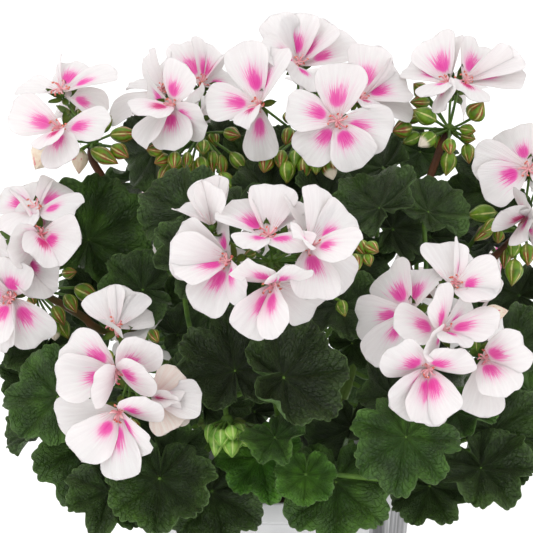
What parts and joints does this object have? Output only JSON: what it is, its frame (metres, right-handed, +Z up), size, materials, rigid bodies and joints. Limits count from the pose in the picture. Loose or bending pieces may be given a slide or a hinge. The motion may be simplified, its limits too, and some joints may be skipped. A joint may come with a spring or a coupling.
{
  "type": "potted zonal geranium",
  "caption": "Bushy pot geranium: round scalloped leaves on long stalks, white flower heads with pink blotches and green buds, in a plain white round plastic pot of soil.",
  "frame": {"origin": "middle of the pot's flat base, on the surface it stands on", "axes": "+Z up along the pot's axis; -Y towards the viewer, the side with the most open flower heads; +X to the viewer's right"},
  "size_m": [0.341, 0.3006, 0.3455],
  "materials": {
    "pot_plastic": "satin, plain white rim, pale body with a grey wood-grain side panel",
    "soil": "rough, damp and crumbly",
    "stem": "slightly hairy green, browner and woody near the soil",
    "leaf": "soft satin, raised pale veins",
    "petal": "soft, white with a hot pink blotch near the base",
    "bud": "soft, green sepals with reddish seams"
  },
  "bodies": {
    "root": {"branch_1": "stem", "branch_2": "stem", "branch_3": "stem", "branch_4": "stem", "branch_5": "stem", "branch_6": "stem", "branch_7": "stem", "flower_head_back_left": "petal", "flower_head_back_middle": "petal", "flower_head_back_right": "petal", "flower_head_front_left": "petal", "flower_head_front_middle": "petal", "flower_head_front_right": "petal", "flower_head_left": "petal", "flower_head_right": "petal", "flower_head_top_left": "petal", "flower_head_top_left_middle": "petal", "flower_head_top_middle": "petal", "flower_head_top_right": "petal", "flower_head_young": "bud", "leaf_bottom_bright": "leaf", "leaf_bottom_left": "leaf", "leaf_bottom_left_curled": "leaf", "leaf_bottom_left_inner": "leaf", "leaf_bottom_middle": "leaf", "leaf_bottom_right": "leaf", "leaf_bottom_young": "leaf", "leaf_centre_low": "leaf", "leaf_centre_right": "leaf", "leaf_centre_shaded": "leaf", "leaf_centre_small": "leaf", "leaf_front_centre": "leaf", "leaf_front_left": "leaf", "leaf_front_right": "leaf", "leaf_left_edge": "leaf", "leaf_left_inner": "leaf", "leaf_left_low": "leaf", "leaf_left_outer": "leaf", "leaf_mid_left": "leaf", "leaf_mid_left_outer": "leaf", "leaf_mid_right": "leaf", "leaf_right_edge": "leaf", "leaf_right_edge_low": "leaf", "leaf_right_folded": "leaf", "leaf_right_low": "leaf", "leaf_right_outer": "leaf", "leaf_right_small": "leaf", "leaf_right_upper": "leaf", "leaf_top_centre": "leaf", "leaf_top_far_right": "leaf", "leaf_top_left": "leaf", "leaf_top_left_back": "leaf", "leaf_top_left_inner": "leaf", "leaf_top_right": "leaf", "leaf_top_right_inner": "leaf", "main_stem": "stem", "pot": "pot_plastic", "soil": "soil"}
  },
  "joints": []
}
